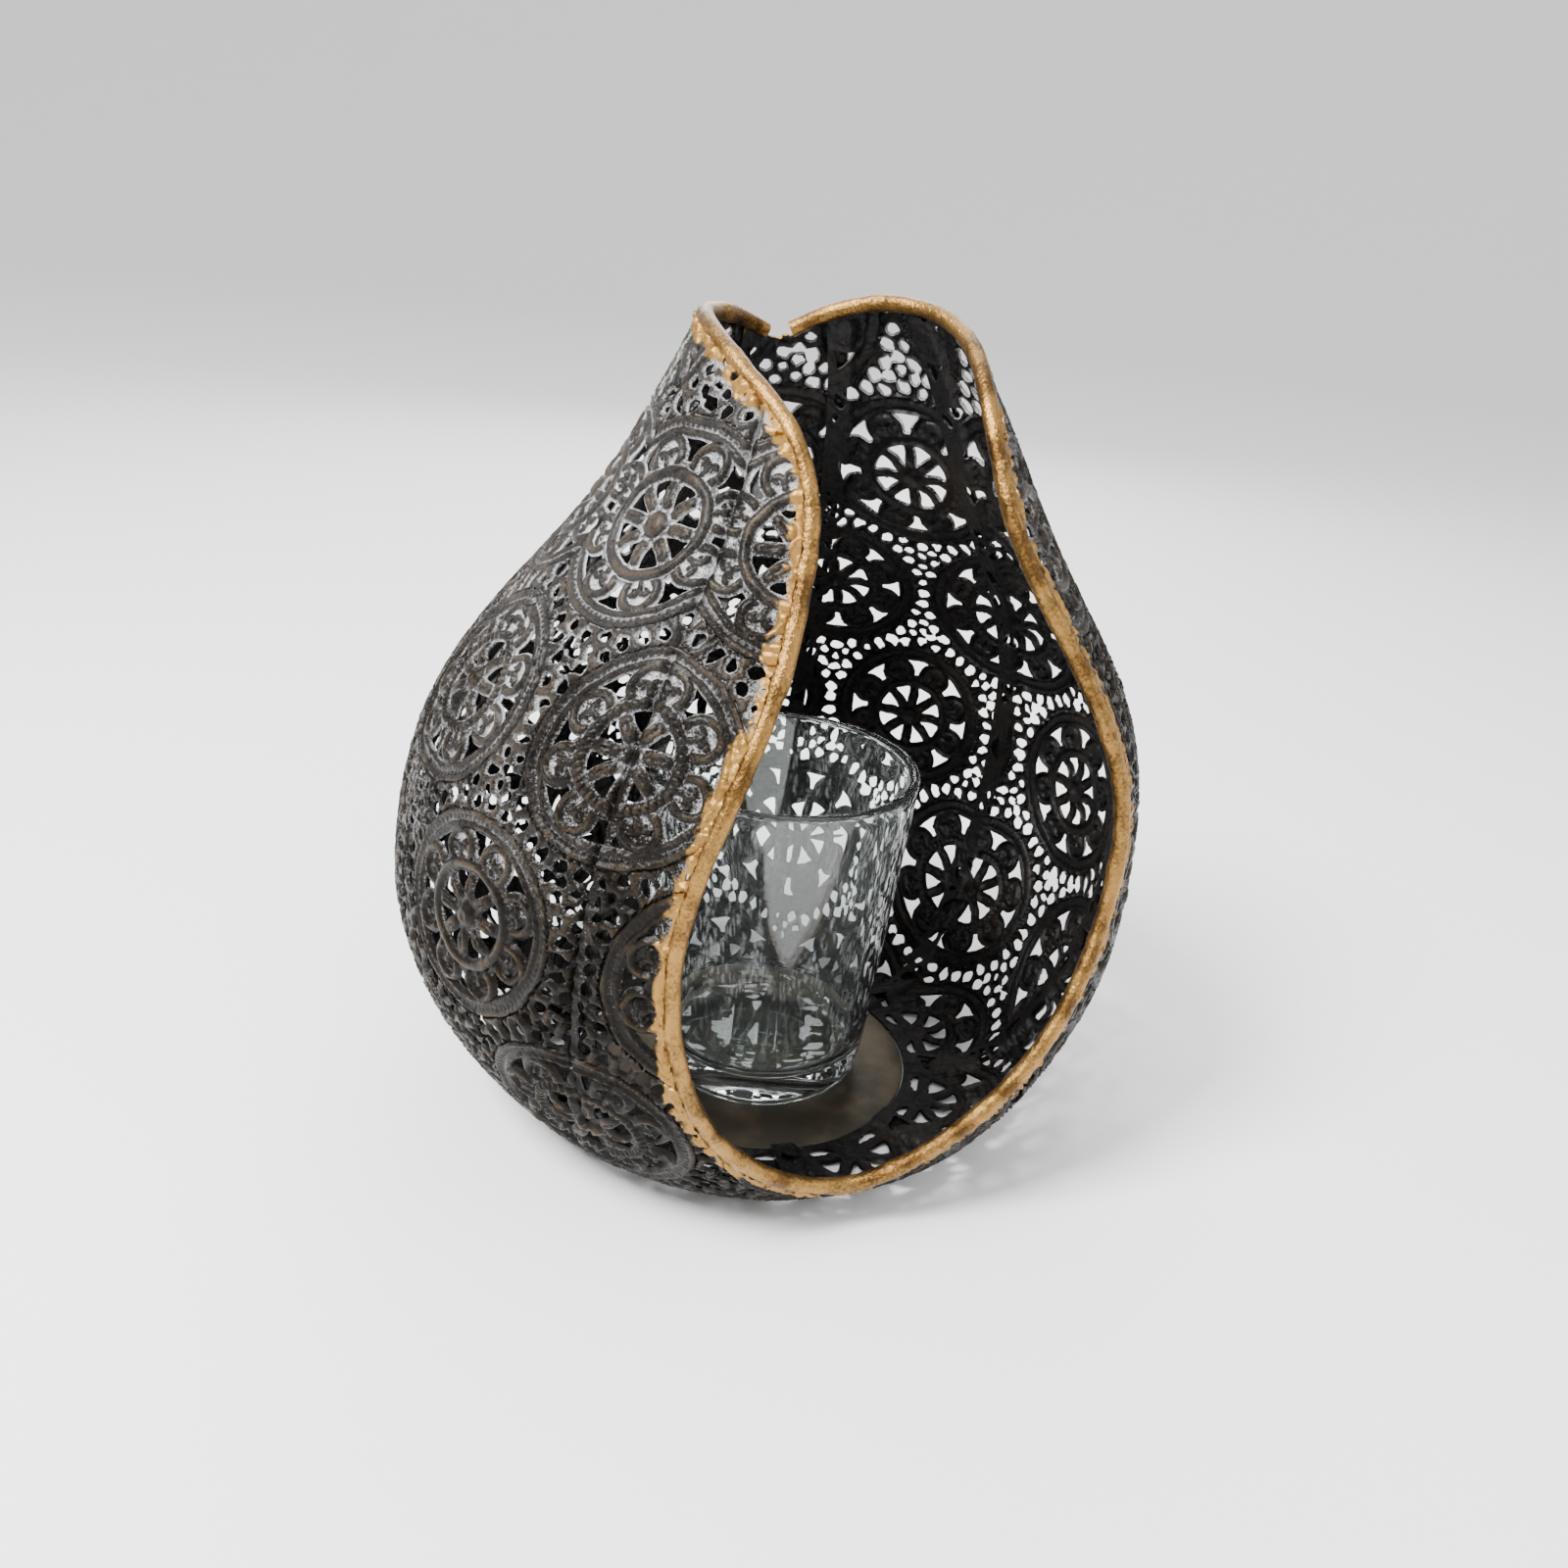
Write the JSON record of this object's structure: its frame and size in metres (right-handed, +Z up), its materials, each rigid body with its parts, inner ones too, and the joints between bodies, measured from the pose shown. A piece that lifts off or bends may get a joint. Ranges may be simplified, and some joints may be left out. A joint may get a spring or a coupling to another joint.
{
  "type": "tealight holder",
  "caption": "Pear-shaped pierced metal lantern with a wire-edged teardrop opening, standing on a flat base disc and holding a loose clear glass votive cup.",
  "frame": {"origin": "centre of the base disc's underside, which rests on the table", "axes": "+Z up, -Y out of the front opening, +X to the right of someone facing the back of the lantern"},
  "size_m": [0.1718, 0.1659, 0.1862],
  "materials": {
    "antique_metal": "antique dark brown with a silver-grey wash",
    "gilt_wire": "matte gold paint",
    "base_metal": "satin dark brown",
    "clear_glass": "clear, slightly wavy pressed glass"
  },
  "bodies": {
    "lantern": {"gore_1": "antique_metal", "gore_2": "antique_metal", "gore_3": "antique_metal", "gore_4": "antique_metal", "gore_5": "antique_metal", "gore_6": "antique_metal", "gore_7": "antique_metal", "gore_8": "antique_metal", "gore_9": "antique_metal", "rim_wire": "gilt_wire", "base_disc": "base_metal"},
    "votive_glass": {"votive_glass": "clear_glass"}
  },
  "joints": [
    {"name": "cup_lift_out", "type": "slide", "parent": "lantern", "child": "votive_glass", "axis": [0, -0.8669, 0.4985], "range_m": [0, 0.15]}
  ]
}
